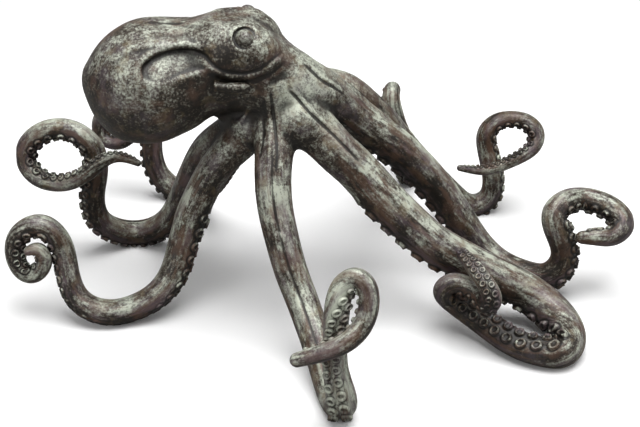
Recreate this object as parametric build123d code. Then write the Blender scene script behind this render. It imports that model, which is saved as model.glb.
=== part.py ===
from build123d import *
import os
from math import cos, radians, sin, sqrt

# Octopus figurine, cast and patinated: one body casting, eight curling arms
# moulded apart and pinned on at flat seats, two eyes and a siphon let in.
# Millimetres, +Z up, +X from the mantle towards the crown of the arms.
# Each arm stands on a small flat at height zero.

# Driving sizes of the figure.
head_height = 250.0
arm_radius = 16.0
dowel_radius = 3.0
dowel_reach = 11.0
dowel_clearance = 0.05
dowel_end_clearance = 0.5
eye_radius = 6.2
eye_stem_depth = 5.0
eye_clearance = 0.1
eye_corners = 12
eye_rings = 5
orbit_radius = 9.0
orbit_lift = 1.5
siphon_radius = 4.0
siphon_bore_radius = 2.2
siphon_bore_depth = 7.0
siphon_clearance = 0.1

# Reference picture: its size in pixels, and the sight lines through it. Lengths
# are shares of head_height, so the whole figure keeps its proportions.
picture_pixels = (640, 427)
sight_tilt_degrees = 30.0
sight_distance_share = 4.6
picture_span_share = 2.024
aim_height_share = 0.316
sight_distance = sight_distance_share * head_height
picture_span = picture_span_share * head_height
aim_height = aim_height_share * head_height

# Depths into the picture: the middle plane of the body, and how far the eyes
# and the siphon lie from it, as shares of head_height.
body_middle_share = 0.04
eye_offset_share = 0.096
siphon_offset_share = 0.134
body_middle = body_middle_share * head_height
eye_offset = eye_offset_share * head_height
siphon_offset = siphon_offset_share * head_height

# Sections of an arm: corners at equal turns from the sucker side.
arm_corners = 10
arm_corner_shares = (0.88, 1.0, 1.03, 1.03, 1.02)
arm_stations = 34
station_crowding_share = 0.45

# Suckers: one in each station step of the two strips beside the sucker side.
# Height as a share of the strip's width, and top as shares of the step's length
# and of the strip's width. The least width and length of a step that still
# carries one is a share of arm_radius.
sucker_corners = (1, 9)
sucker_height_share = 0.3
sucker_length_share = 0.45
sucker_width_share = 0.62
sucker_least_share = 0.27
sucker_arms = ("front_left", "front_centre", "front_right", "right", "left")

# Arm routes: picture column, picture row, height as a share of head_height
# and radius as a share of arm_radius, from inside the crown to the tip.
front_left_shares = (
    (250, 130, 0.600, 0.84), (240, 143, 0.552, 0.83), (222, 160, 0.500, 0.81),
    (208, 180, 0.432, 0.80), (198, 200, 0.368, 0.79), (189, 222, 0.296, 0.78),
    (181, 252, 0.200, 0.75), (172, 277, 0.132, 0.725), (155, 297, 0.078, 0.70),
    (132, 309, 0.044, 0.69), (112, 313, 0.038, 0.69), (92, 309, 0.052, 0.66),
    (76, 296, 0.088, 0.625), (68, 275, 0.152, 0.59), (64, 255, 0.212, 0.59),
    (57, 238, 0.272, 0.59), (41, 226, 0.316, 0.575), (22, 232, 0.296, 0.51),
    (15, 250, 0.232, 0.50), (22, 270, 0.168, 0.46), (34, 274, 0.160, 0.44),
    (44, 261, 0.212, 0.40), (38, 250, 0.252, 0.36), (29, 251, 0.252, 0.26),
)
front_centre_shares = (
    (275, 120, 0.640, 0.94), (274, 150, 0.580, 0.91), (273, 176, 0.520, 0.875),
    (275, 206, 0.440, 0.84), (282, 239, 0.352, 0.81), (291, 271, 0.264, 0.79),
    (302, 300, 0.192, 0.77), (318, 345, 0.108, 0.75), (327, 374, 0.060, 0.75),
    (334, 395, 0.036, 0.75), (340, 404, 0.048, 0.74), (341, 396, 0.100, 0.69),
    (336, 371, 0.180, 0.58), (335, 348, 0.252, 0.55), (336, 325, 0.332, 0.55),
    (338, 303, 0.404, 0.56), (343, 287, 0.448, 0.51), (354, 278, 0.476, 0.45),
    (365, 284, 0.464, 0.45), (369, 304, 0.412, 0.45), (362, 326, 0.356, 0.45),
    (347, 342, 0.324, 0.43), (325, 352, 0.296, 0.40), (297, 360, 0.268, 0.32),
)
front_right_shares = (
    (300, 120, 0.660, 1.06), (320, 135, 0.608, 1.05), (337, 152, 0.560, 1.03),
    (355, 168, 0.504, 1.03), (381, 196, 0.420, 1.03), (405, 220, 0.344, 1.02),
    (432, 243, 0.272, 1.00), (462, 260, 0.212, 0.975), (490, 274, 0.164, 0.955),
    (510, 283, 0.136, 0.94), (533, 296, 0.100, 0.94), (552, 312, 0.070, 0.92),
    (565, 328, 0.054, 0.875), (568, 343, 0.048, 0.81), (560, 352, 0.046, 0.76),
    (545, 352, 0.046, 0.725), (525, 347, 0.048, 0.70), (505, 337, 0.056, 0.69),
    (485, 323, 0.068, 0.67), (465, 309, 0.092, 0.63), (450, 298, 0.130, 0.60),
    (445, 290, 0.169, 0.56), (453, 284, 0.194, 0.54), (468, 288, 0.192, 0.52),
    (480, 297, 0.183, 0.50), (489, 304, 0.189, 0.48), (492, 297, 0.222, 0.46),
    (483, 280, 0.262, 0.42), (471, 264, 0.283, 0.37), (462, 253, 0.287, 0.29),
)
right_shares = (
    (298, 78, 0.750, 1.00), (316, 87, 0.712, 1.04), (335, 100, 0.660, 1.03), (362, 122, 0.568, 1.00),
    (390, 143, 0.488, 0.975), (418, 168, 0.388, 0.94), (440, 193, 0.292, 0.90),
    (458, 218, 0.200, 0.85), (478, 245, 0.104, 0.80), (500, 264, 0.052, 0.775),
    (525, 275, 0.043, 0.76), (547, 277, 0.060, 0.74), (562, 264, 0.112, 0.705),
    (564, 247, 0.172, 0.69), (558, 230, 0.232, 0.69), (554, 215, 0.280, 0.62),
    (562, 204, 0.300, 0.60), (580, 199, 0.288, 0.595), (600, 203, 0.284, 0.60),
    (617, 214, 0.268, 0.625), (622, 226, 0.248, 0.59), (612, 236, 0.236, 0.50),
    (598, 237, 0.240, 0.45), (583, 237, 0.236, 0.36),
)
back_right_shares = (
    (286, 86, 0.700, 0.80), (304, 83, 0.684, 0.81), (322, 83, 0.660, 0.79), (345, 88, 0.640, 0.77),
    (362, 100, 0.580, 0.75), (378, 115, 0.500, 0.75), (400, 140, 0.368, 0.71),
    (425, 168, 0.232, 0.69), (450, 192, 0.108, 0.655), (472, 205, 0.030, 0.625),
    (488, 198, 0.052, 0.61), (493, 183, 0.108, 0.60), (491, 165, 0.172, 0.595),
    (487, 148, 0.232, 0.56), (487, 133, 0.288, 0.53), (497, 122, 0.328, 0.475),
    (513, 119, 0.340, 0.44), (528, 123, 0.328, 0.45), (536, 134, 0.292, 0.47),
    (533, 147, 0.256, 0.41), (520, 157, 0.232, 0.36), (503, 165, 0.212, 0.325),
    (485, 170, 0.200, 0.29), (460, 168, 0.208, 0.175),
)
back_shares = (
    (292, 92, 0.708, 0.84), (314, 96, 0.640, 0.81), (349, 105, 0.520, 0.78),
    (373, 119, 0.392, 0.75),
    (392, 139, 0.256, 0.72), (402, 158, 0.154, 0.67), (407, 170, 0.064, 0.61),
    (408.3, 175, 0.0335, 0.57), (408.4, 174.5, 0.021, 0.56), (408, 167.7, 0.0335, 0.56),
    (407, 157.5, 0.0685, 0.56), (404.5, 143, 0.131, 0.56),
    (398, 127, 0.208, 0.56), (393, 111, 0.280, 0.55), (391, 98, 0.328, 0.51),
    (392, 90, 0.346, 0.46), (393, 91, 0.326, 0.42), (392, 101, 0.276, 0.36),
    (392, 113, 0.228, 0.26),
)
left_shares = (
    (250, 122, 0.600, 0.84), (215, 142, 0.500, 0.81), (200, 162, 0.392, 0.81),
    (189, 185, 0.280, 0.78), (177, 210, 0.160, 0.74), (160, 227, 0.074, 0.69),
    (137, 233, 0.034, 0.67), (115, 230, 0.064, 0.66), (98, 218, 0.128, 0.645),
    (93, 195, 0.220, 0.625), (96, 172, 0.304, 0.625), (94, 152, 0.376, 0.61),
    (86, 140, 0.420, 0.59), (72, 131, 0.448, 0.56), (55, 129, 0.456, 0.555),
    (38, 135, 0.432, 0.55), (27, 148, 0.384, 0.545), (27, 163, 0.336, 0.525),
    (38, 177, 0.296, 0.49), (55, 183, 0.284, 0.45), (72, 181, 0.304, 0.44),
    (90, 171, 0.352, 0.41), (105, 160, 0.392, 0.35), (120, 157, 0.404, 0.275),
    (138, 163, 0.388, 0.175),
)
back_left_shares = (
    (269, 111, 0.620, 0.78), (238, 141, 0.440, 0.72), (217, 173, 0.240, 0.69),
    (199, 192, 0.084, 0.655), (182, 193, 0.029, 0.64), (168, 184, 0.056, 0.625),
    (158, 172, 0.104, 0.60), (153, 158, 0.160, 0.595), (152, 145, 0.208, 0.575),
    (150, 125, 0.280, 0.54), (132, 108, 0.336, 0.475), (110, 110, 0.332, 0.45),
    (100, 122, 0.288, 0.44), (103, 137, 0.232, 0.425), (116, 143, 0.216, 0.39),
    (127, 140, 0.232, 0.34), (137, 134, 0.252, 0.26),
)

# How far the sucker side has turned about each arm, in degrees, at shares of
# its length.
untwisted_shares = ((0.0, 0), (1.0, 0))
front_left_twist_shares = ((0.0, 0), (0.68, 0), (0.80, 35), (0.88, 45), (0.94, 85), (1.0, 130))
front_centre_twist_shares = (
    (0.0, 0), (0.49, 0), (0.57, -48), (0.68, -50), (0.72, -25),
    (0.76, 20), (0.80, 60), (0.85, 75), (1.0, 72),
)
front_right_twist_shares = (
    (0.0, 0), (0.42, 0), (0.50, -60), (0.55, -110), (0.60, -150),
    (0.65, -167), (0.80, -170), (0.88, -240), (0.95, -308), (1.0, -308),
)
back_right_twist_shares = (
    (0.0, 0), (0.55, 0), (0.62, -20), (0.70, -40), (0.75, -85),
    (0.80, -105), (0.90, -122), (1.0, -120),
)
back_twist_shares = ((0.0, 0), (0.65, 0), (0.78, 25), (1.0, 25))

# Each arm: route, twist, and share of the stations at which it leaves the body
# casting.
arm_shares = {
    "front_left": (front_left_shares, front_left_twist_shares, 0.12),
    "front_centre": (front_centre_shares, front_centre_twist_shares, 0.09),
    "front_right": (front_right_shares, front_right_twist_shares, 0.09),
    "right": (right_shares, untwisted_shares, 0.09),
    "back_right": (back_right_shares, back_right_twist_shares, 0.18),
    "back": (back_shares, back_twist_shares, 0.235),
    "left": (left_shares, untwisted_shares, 0.09),
    "back_left": (back_left_shares, untwisted_shares, 0.12),
}

# Body casting: picture column, top row, bottom row, and width as a share of
# height.
body_corners = 18
crown_radius = 31.0
body_shares = (
    (84.5, 74, 88, 1.0), (90, 58, 108, 1.0), (100, 41, 124, 1.0),
    (115, 27.5, 139, 1.0), (134, 18, 144, 1.0), (152, 16, 144.5, 1.0),
    (167, 17, 142, 1.0), (181, 19, 136, 0.97), (196, 21.5, 128, 0.92),
    (208, 23, 119, 0.90), (222, 24, 113, 0.90), (238, 25, 114, 0.90),
    (254, 28, 120, 0.88), (268, 32.5, 128, 0.84), (281, 37.5, 130, 0.86),
    (294, 45, 128, 0.92), (308, 57, 122, 1.0), (320, 68, 112, 1.0),
    (332, 82, 102, 1.0),
)

# Mound under each eye: its place in the picture on the near side, distance from
# the middle plane and radii as shares of head_height, its corners and rings.
mound_pixel = (231, 42)
mound_offset_share = 0.045
mound_radius_shares = (0.104, 0.060, 0.057)
mound_corners = 10
mound_rings = 5

# Crown under the head, where the arms meet: its place in the picture, then
# heights as shares of head_height and radii as shares of crown_radius.
crown_pixel = (282, 110)
crown_shares = ((0.80, 0.5), (0.745, 0.85), (0.68, 1.0), (0.61, 1.0), (0.55, 0.72))

# Eye and siphon places in the picture.
eye_pixel = (244.6, 39)
eye_facing = (0.16, 0.80, 0.55)
siphon_pixels = ((214, 86), (250, 88))


def sight_line(column, row):
    """Eye point and direction of the sight line through a picture point."""
    tilt = radians(sight_tilt_degrees)
    forward = Vector(0, cos(tilt), -sin(tilt))
    upward = Vector(0, sin(tilt), cos(tilt))
    columns, rows = picture_pixels
    step = picture_span / columns / sight_distance
    across = (column - columns / 2) * step
    rise = (rows / 2 - row) * step
    eye = Vector(0, 0, aim_height) - forward * sight_distance
    return eye, forward + Vector(across, 0, 0) + upward * rise


def at_height(column, row, height):
    """Point of a sight line at a height above the ground."""
    eye, direction = sight_line(column, row)
    return eye + direction * ((height - eye.Z) / direction.Z)


def at_depth(column, row, depth):
    """Point of a sight line at a depth into the picture."""
    eye, direction = sight_line(column, row)
    return eye + direction * ((depth - eye.Y) / direction.Y)


def blend(table, share):
    """Value of a table of (share, value) pairs at a share, in straight steps."""
    for (low, a), (high, b) in zip(table, table[1:]):
        if share <= high:
            return a + (b - a) * (share - low) / (high - low)
    return table[-1][1]


def carried(side, place, along, next_place, next_along):
    """Side direction carried along an arm without turning about it.

    It is mirrored in the plane midway between two places, and then in the
    plane that turns the mirrored direction of travel into the next one."""
    step = next_place - place
    side = side - step * (2 * step.dot(side) / step.dot(step))
    along = along - step * (2 * step.dot(along) / step.dot(step))
    turn = next_along - along
    if turn.length == 0:
        return side
    return side - turn * (2 * turn.dot(side) / turn.dot(turn))


def arm_sections(route_shares, twist_shares):
    """Places, directions and outlines of an arm's sections, root to tip."""
    points = [at_height(c, r, h * head_height) for c, r, h, _ in route_shares]
    line = Spline(*points)
    runs = [0.0]
    for before, after in zip(points, points[1:]):
        runs.append(runs[-1] + (after - before).length)
    girths = [(run / runs[-1], row[3]) for run, row in zip(runs, route_shares)]
    sections = []
    for station in range(arm_stations + 1):
        even = station / arm_stations
        share = even + station_crowding_share * even * (1 - even)
        place = line.position_at(share)
        along = line.tangent_at(share).normalized()
        if not sections:
            down = Vector(0, 0, -1)
            side = (down - along * down.dot(along)).normalized()
        else:
            side = carried(side, *sections[-1][:2], place, along)
        turn = radians(blend(twist_shares, share))
        out = side * cos(turn) + along.cross(side) * sin(turn)
        aside = along.cross(out)
        radius = arm_radius * blend(girths, share)
        corners = []
        for corner in range(arm_corners):
            angle = radians((corner + 0.5) * 360 / arm_corners)
            steps = min(corner, arm_corners - 1 - corner)
            reach = radius * arm_corner_shares[steps]
            corners.append(place + (out * cos(angle) + aside * sin(angle)) * reach)
        sections.append((place, along, corners))
    return sections


def flat(*corners):
    """Flat face between corners."""
    return Face(Wire.make_polygon(corners, close=True))


def sucker(base, middle, least):
    """Corners of a raised sucker top over a strip's four corners, or nothing.

    It is left out where the step is too small for it, and next to the ground."""
    width = (base[1] - base[0]).length
    length = min((base[2] - base[1]).length, (base[3] - base[0]).length)
    centre = (base[0] + base[1] + base[2] + base[3]) * 0.25
    normal = (base[2] - base[0]).cross(base[3] - base[1]).normalized()
    if normal.dot(centre - middle) < 0:
        normal = normal * -1
    top = []
    for edge in (base[:2], base[2:]):
        ahead = (edge[0] + edge[1]) * 0.5 - centre
        for corner in edge:
            aside = corner - centre - ahead
            spot = centre + ahead * sucker_length_share + aside * sucker_width_share
            top.append(spot + normal * width * sucker_height_share)
    lowest = min(spot.Z for spot in top + list(base))
    if min(width, length) < least or lowest < width * sucker_height_share:
        return None
    return top


def skin(outlines, sucker_strips=()):
    """Solid under flat facets from each outline to the next, closed at its ends.

    The strips that end at the given corners carry suckers."""
    facets = [flat(*outlines[0]), flat(*outlines[-1])]
    for ring, following in zip(outlines, outlines[1:]):
        middle = sum(ring, Vector(0, 0, 0)) * (1 / len(ring))
        for corner in range(len(ring)):
            base = (ring[corner - 1], ring[corner], following[corner], following[corner - 1])
            top = None
            if corner in sucker_strips:
                top = sucker(base, middle, sucker_least_share * arm_radius)
            if top:
                for edge in range(4):
                    facets.append(flat(base[edge - 1], base[edge], top[edge]))
                    facets.append(flat(base[edge - 1], top[edge], top[edge - 1]))
                base = top
            facets.append(flat(base[0], base[1], base[2]))
            facets.append(flat(base[0], base[2], base[3]))
    return Solid(Shell(facets))


def crown_blank():
    """Lump under the head that the roots of the arms grow out of."""
    centre = at_depth(*crown_pixel, body_middle)
    outlines = []
    for height, girth in crown_shares:
        outline = []
        for corner in range(body_corners):
            angle = radians(corner * 360 / body_corners)
            reach = Vector(cos(angle), sin(angle), 0) * crown_radius * girth
            outline.append(Vector(centre.X, centre.Y, height * head_height) + reach)
        outlines.append(outline)
    return skin(outlines)


def rod(centre, along, radius, half_length):
    """Round rod about a centre."""
    plane = Plane(origin=centre - along * half_length, z_dir=along)
    return Solid.make_cylinder(radius, 2 * half_length, plane)


def body_blank():
    """Mantle and head as one loft along the body."""
    outlines = []
    for column, top, bottom, width in body_shares:
        high = at_depth(column, top, body_middle)
        low = at_depth(column, bottom, body_middle)
        centre = (high + low) * 0.5
        tilt = radians(sight_tilt_degrees)
        seen = (high - low).length / 2 * cos(tilt)
        tall = seen / sqrt((width * sin(tilt)) ** 2 + cos(tilt) ** 2)
        outline = []
        for corner in range(body_corners):
            angle = radians(corner * 360 / body_corners)
            outline.append(centre + Vector(0, tall * width * sin(angle), tall * cos(angle)))
        outlines.append(outline)
    return skin(outlines)


def mound(side):
    """Egg-shaped swelling of the head under an eye."""
    offset = mound_offset_share * head_height
    near = at_depth(*mound_pixel, body_middle - offset)
    centre = Vector(near.X, body_middle + side * offset, near.Z)
    long, wide, tall = (share * head_height for share in mound_radius_shares)
    outlines = []
    for ring in range(mound_rings):
        sweep = radians(180 * (ring + 0.5) / mound_rings)
        outline = []
        for corner in range(mound_corners):
            angle = radians(360 * corner / mound_corners)
            reach = Vector(0, wide * cos(angle), tall * sin(angle)) * sin(sweep)
            outline.append(centre - Vector(long * cos(sweep), 0, 0) + reach)
        outlines.append(outline)
    return skin(outlines)


def eye_place(side):
    """Centre and outward direction of an eye; side is -1 near, +1 far."""
    near = at_depth(*eye_pixel, body_middle - eye_offset)
    centre = Vector(near.X, body_middle + side * eye_offset, near.Z)
    forward, outward, upward = eye_facing
    return centre, Vector(forward, side * outward, upward).normalized()


def eye_plug(side):
    """Domed eye on a stem."""
    centre, facing = eye_place(side)
    seat = Plane(origin=centre, z_dir=facing)
    rings = [(-eye_stem_depth, eye_radius)]
    for ring in range(eye_rings):
        rise = radians(90 * ring / eye_rings)
        rings.append((eye_radius * sin(rise), eye_radius * cos(rise)))
    outlines = []
    for lift, reach in rings:
        turns = [radians(360 * corner / eye_corners) for corner in range(eye_corners)]
        spots = [Vector(reach * cos(turn), reach * sin(turn), lift) for turn in turns]
        outlines.append([seat.from_local_coords(spot) for spot in spots])
    return skin(outlines)


def eye_socket(side):
    """Hole that takes an eye and leaves its dome free."""
    centre, facing = eye_place(side)
    floor = centre - facing * (eye_stem_depth + eye_clearance)
    return Solid.make_cylinder(
        eye_radius + eye_clearance,
        eye_stem_depth + eye_clearance + orbit_radius,
        Plane(origin=floor, z_dir=facing),
    )


def orbit(side):
    """Raised ring of the body round an eye."""
    centre, facing = eye_place(side)
    root = Plane(origin=centre - facing * orbit_radius, z_dir=facing)
    return Solid.make_cylinder(orbit_radius, orbit_radius + orbit_lift, root)


def siphon_tube(gap):
    """Siphon tube along the cheek, or with a gap the groove that seats it."""
    depth = body_middle - siphon_offset
    mouth, root = (at_depth(*pixel, depth) for pixel in siphon_pixels)
    along = (root - mouth).normalized()
    length = (root - mouth).length
    tube = Solid.make_cylinder(
        siphon_radius + gap, length + gap, Plane(origin=mouth, z_dir=along)
    )
    if gap:
        return tube
    bore = Solid.make_cylinder(
        siphon_bore_radius, siphon_bore_depth, Plane(origin=mouth, z_dir=along)
    )
    return tube - bore


sides = {"near": -1, "far": 1}

ground_size = 2 * picture_span
ground = Box(
    ground_size,
    ground_size,
    picture_span,
    align=(Align.CENTER, Align.CENTER, Align.MAX),
)

nodes = {}
added = [crown_blank()] + [form(side) for form in (mound, orbit) for side in sides.values()]
removed = [eye_socket(side) for side in sides.values()] + [siphon_tube(siphon_clearance)]
for name, (route, twist, joint_share) in arm_shares.items():
    sections = arm_sections(route, twist)
    outlines = [outline for _, _, outline in sections]
    joint = round(joint_share * arm_stations)
    place, along, _ = sections[joint]
    hole = rod(
        place,
        along,
        dowel_radius + dowel_clearance,
        dowel_reach + dowel_end_clearance,
    )
    added.append(skin(outlines[: joint + 1]))
    removed.append(hole)
    strips = sucker_corners if name in sucker_arms else ()
    nodes[f"arm_{name}"] = skin(outlines[joint:], strips).cut(ground, hole)
    nodes[f"dowel_{name}"] = rod(place, along, dowel_radius, dowel_reach)
for where, side in sides.items():
    nodes[f"eye_{where}"] = eye_plug(side)
nodes["siphon"] = siphon_tube(0)
nodes["mantle_and_head"] = body_blank().fuse(*added).cut(*removed)

box = nodes["mantle_and_head"].bounding_box()
for shape in nodes.values():
    box = box.add(shape.bounding_box())
home = Vector(-(box.min.X + box.max.X) / 2, -(box.min.Y + box.max.Y) / 2, 0)
print("moved by", home, "size", box.size)
os.makedirs("parts", exist_ok=True)
for name, shape in nodes.items():
    print(name, round(shape.volume), len(shape.faces()), len(shape.solids()))
    export_step(Location(home) * shape, f"parts/{name}.step")
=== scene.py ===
# %% [markdown]
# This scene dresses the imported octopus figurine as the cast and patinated
# ornament that it is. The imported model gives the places, and every length here
# is in metres, in the same frame.

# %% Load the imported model
import math
from itertools import product

import bpy
import numpy as np
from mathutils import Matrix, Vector


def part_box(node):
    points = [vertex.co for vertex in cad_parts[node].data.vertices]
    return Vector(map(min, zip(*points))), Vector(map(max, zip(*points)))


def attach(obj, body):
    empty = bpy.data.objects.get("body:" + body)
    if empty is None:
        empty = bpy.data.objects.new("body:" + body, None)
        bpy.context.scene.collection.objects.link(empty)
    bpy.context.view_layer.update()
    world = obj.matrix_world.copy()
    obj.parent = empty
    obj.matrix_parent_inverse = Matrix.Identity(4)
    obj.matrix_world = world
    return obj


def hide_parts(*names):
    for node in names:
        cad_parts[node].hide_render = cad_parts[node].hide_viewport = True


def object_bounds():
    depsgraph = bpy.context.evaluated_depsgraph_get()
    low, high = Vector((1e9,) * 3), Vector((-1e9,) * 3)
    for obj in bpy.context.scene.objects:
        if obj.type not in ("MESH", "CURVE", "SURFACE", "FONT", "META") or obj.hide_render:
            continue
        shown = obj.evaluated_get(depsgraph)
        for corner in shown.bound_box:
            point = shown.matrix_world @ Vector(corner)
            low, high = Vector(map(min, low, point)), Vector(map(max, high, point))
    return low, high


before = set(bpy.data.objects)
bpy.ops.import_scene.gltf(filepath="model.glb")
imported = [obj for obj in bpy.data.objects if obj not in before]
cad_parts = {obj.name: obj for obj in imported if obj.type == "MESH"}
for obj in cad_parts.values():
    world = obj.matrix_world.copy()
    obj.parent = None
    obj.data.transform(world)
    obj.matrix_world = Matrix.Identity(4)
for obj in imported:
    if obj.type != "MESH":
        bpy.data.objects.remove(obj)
cad_low, cad_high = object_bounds()
print("packed nodes", len(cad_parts), "box", [round(v, 4) for v in (*cad_low, *cad_high)])

# %% [markdown]
# The figure was laid out from one viewpoint: a camera 30 degrees above the
# ground, aimed at the middle of the figure. A point of the picture with a
# height, or with a depth, is a point in space. The same sight lines serve here
# for the arms' courses, the carving of the head and the camera itself.

# %% Sight lines
mm = 0.001
picture_columns, picture_rows = 640, 427
head_height = 0.250
sight_distance = 4.6 * head_height
picture_span = 2.024 * head_height
aim_height = 0.316 * head_height
body_middle = 0.04 * head_height
sight_tilt = math.radians(30)

forward = np.array([0, math.cos(sight_tilt), -math.sin(sight_tilt)])
upward = np.array([0, math.sin(sight_tilt), math.cos(sight_tilt)])
rightward = np.array([1.0, 0, 0])
aim = np.array([0, 0, aim_height])
eye_point = aim - forward * sight_distance
pixel_step = picture_span / picture_columns / sight_distance


def sight(columns, rows):
    """Directions of sight lines: forward, plus right and up by the offsets from the centre."""
    across = (np.asarray(columns, float) - picture_columns / 2) * pixel_step
    rise = (picture_rows / 2 - np.asarray(rows, float)) * pixel_step
    return forward + across[..., None] * rightward + rise[..., None] * upward


def at_height(columns, rows, heights):
    """Points where sight lines cross given heights."""
    lines = sight(columns, rows)
    return eye_point + lines * ((np.asarray(heights) - eye_point[2]) / lines[..., 2])[..., None]


def at_depth(columns, rows, depths):
    """Points where sight lines cross given depths into the picture."""
    lines = sight(columns, rows)
    return eye_point + lines * ((np.asarray(depths) - eye_point[1]) / lines[..., 1])[..., None]


def to_picture(points):
    """Picture columns and rows of points in space."""
    seen = points - eye_point
    away = seen @ forward * pixel_step
    return picture_columns / 2 + seen @ rightward / away, picture_rows / 2 - seen @ upward / away


# The layout's origin is under the aim point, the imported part's is under the
# middle of its box. The siphon is in both, so it gives the step between them.
siphon_pixels = ((214, 86), (250, 88))
siphon_depth = body_middle - 0.134 * head_height
siphon_ends = np.array([at_depth(c, r, siphon_depth) for c, r in siphon_pixels])
siphon_low, siphon_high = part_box("siphon")
home = np.array((siphon_low + siphon_high) / 2) - siphon_ends.mean(0)
print("layout moved by", home.round(5))

# %% [markdown]
# An arm is a tapered tube along a curve in space. A curve object with a bevel
# would draw the tube, but it can't grow suckers or run on into the body, so the
# course stays numbers here and the surface is worked out from it later. It is
# the list of points that the part's source also has: picture column and row,
# height as a share of the head's height, and radius as a share of the arm's.

# %% Courses of the arms
arm_radius = 16 * mm

front_left_shares = (
    (250, 130, 0.600, 0.84), (240, 143, 0.552, 0.83), (222, 160, 0.500, 0.81),
    (208, 180, 0.432, 0.80), (198, 200, 0.368, 0.79), (189, 222, 0.296, 0.78),
    (181, 252, 0.200, 0.75), (172, 277, 0.132, 0.725), (155, 297, 0.078, 0.70),
    (132, 309, 0.044, 0.69), (112, 313, 0.038, 0.69), (92, 309, 0.052, 0.66),
    (76, 296, 0.088, 0.625), (68, 275, 0.152, 0.59), (64, 255, 0.212, 0.59),
    (57, 238, 0.272, 0.59), (41, 226, 0.316, 0.575), (22, 232, 0.296, 0.51),
    (15, 250, 0.232, 0.50), (22, 270, 0.168, 0.46), (34, 274, 0.160, 0.44),
    (44, 261, 0.212, 0.40), (38, 250, 0.252, 0.36), (29, 251, 0.252, 0.26),
)
front_centre_shares = (
    (275, 120, 0.640, 0.94), (274, 150, 0.580, 0.91), (273, 176, 0.520, 0.875),
    (275, 206, 0.440, 0.84), (282, 239, 0.352, 0.81), (291, 271, 0.264, 0.79),
    (302, 300, 0.192, 0.77), (318, 345, 0.108, 0.75), (327, 374, 0.060, 0.75),
    (334, 395, 0.036, 0.75), (340, 404, 0.048, 0.74), (341, 396, 0.100, 0.69),
    (336, 371, 0.180, 0.58), (335, 348, 0.252, 0.55), (336, 325, 0.332, 0.55),
    (338, 303, 0.404, 0.56), (343, 287, 0.448, 0.51), (354, 278, 0.476, 0.45),
    (365, 284, 0.464, 0.45), (369, 304, 0.412, 0.45), (362, 326, 0.356, 0.45),
    (347, 342, 0.324, 0.43), (325, 352, 0.296, 0.40), (297, 360, 0.268, 0.32),
)
front_right_shares = (
    (300, 120, 0.660, 1.06), (320, 135, 0.608, 1.05), (337, 152, 0.560, 1.03),
    (355, 168, 0.504, 1.03), (381, 196, 0.420, 1.03), (405, 220, 0.344, 1.02),
    (432, 243, 0.272, 1.00), (462, 260, 0.212, 0.975), (490, 274, 0.164, 0.955),
    (510, 283, 0.136, 0.94), (533, 296, 0.100, 0.94), (552, 312, 0.070, 0.92),
    (565, 328, 0.054, 0.875), (568, 343, 0.048, 0.81), (560, 352, 0.046, 0.76),
    (545, 352, 0.046, 0.725), (525, 347, 0.048, 0.70), (505, 337, 0.056, 0.69),
    (485, 323, 0.068, 0.67), (465, 309, 0.092, 0.63), (450, 298, 0.130, 0.60),
    (445, 290, 0.169, 0.56), (453, 284, 0.194, 0.54), (468, 288, 0.192, 0.52),
    (480, 297, 0.183, 0.50), (489, 304, 0.189, 0.48), (492, 297, 0.222, 0.46),
    (483, 280, 0.262, 0.42), (471, 264, 0.283, 0.37), (462, 253, 0.287, 0.29),
)
right_shares = (
    (298, 78, 0.750, 1.00), (316, 87, 0.712, 1.04), (335, 100, 0.660, 1.03), (362, 122, 0.568, 1.00),
    (390, 143, 0.488, 0.975), (418, 168, 0.388, 0.94), (440, 193, 0.292, 0.90),
    (458, 218, 0.200, 0.85), (478, 245, 0.104, 0.80), (500, 264, 0.052, 0.775),
    (525, 275, 0.043, 0.76), (547, 277, 0.060, 0.74), (562, 264, 0.112, 0.705),
    (564, 247, 0.172, 0.69), (558, 230, 0.232, 0.69), (554, 215, 0.280, 0.62),
    (562, 204, 0.300, 0.60), (580, 199, 0.288, 0.595), (600, 203, 0.284, 0.60),
    (617, 214, 0.268, 0.625), (622, 226, 0.248, 0.59), (612, 236, 0.236, 0.50),
    (598, 237, 0.240, 0.45), (583, 237, 0.236, 0.36),
)
back_right_shares = (
    (286, 86, 0.700, 0.80), (304, 83, 0.684, 0.81), (322, 83, 0.660, 0.79), (345, 88, 0.640, 0.77),
    (362, 100, 0.580, 0.75), (378, 115, 0.500, 0.75), (400, 140, 0.368, 0.71),
    (425, 168, 0.232, 0.69), (450, 192, 0.108, 0.655), (472, 205, 0.030, 0.625),
    (488, 198, 0.052, 0.61), (493, 183, 0.108, 0.60), (491, 165, 0.172, 0.595),
    (487, 148, 0.232, 0.56), (487, 133, 0.288, 0.53), (497, 122, 0.328, 0.475),
    (513, 119, 0.340, 0.44), (528, 123, 0.328, 0.45), (536, 134, 0.292, 0.47),
    (533, 147, 0.256, 0.41), (520, 157, 0.232, 0.36), (503, 165, 0.212, 0.325),
    (485, 170, 0.200, 0.29), (460, 168, 0.208, 0.175),
)
back_shares = (
    (292, 92, 0.708, 0.84), (314, 96, 0.640, 0.81), (349, 105, 0.520, 0.78),
    (373, 119, 0.392, 0.75), (392, 139, 0.256, 0.72), (402, 158, 0.154, 0.67),
    (407, 170, 0.064, 0.61), (408.3, 175, 0.0335, 0.57), (408.4, 174.5, 0.021, 0.56),
    (408, 167.7, 0.0335, 0.56), (407, 157.5, 0.0685, 0.56), (404.5, 143, 0.131, 0.56),
    (398, 127, 0.208, 0.56), (393, 111, 0.280, 0.55),
    (391, 98, 0.328, 0.51), (392, 90, 0.346, 0.46), (393, 91, 0.326, 0.42),
    (392, 101, 0.276, 0.36), (392, 113, 0.228, 0.26),
)
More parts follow.
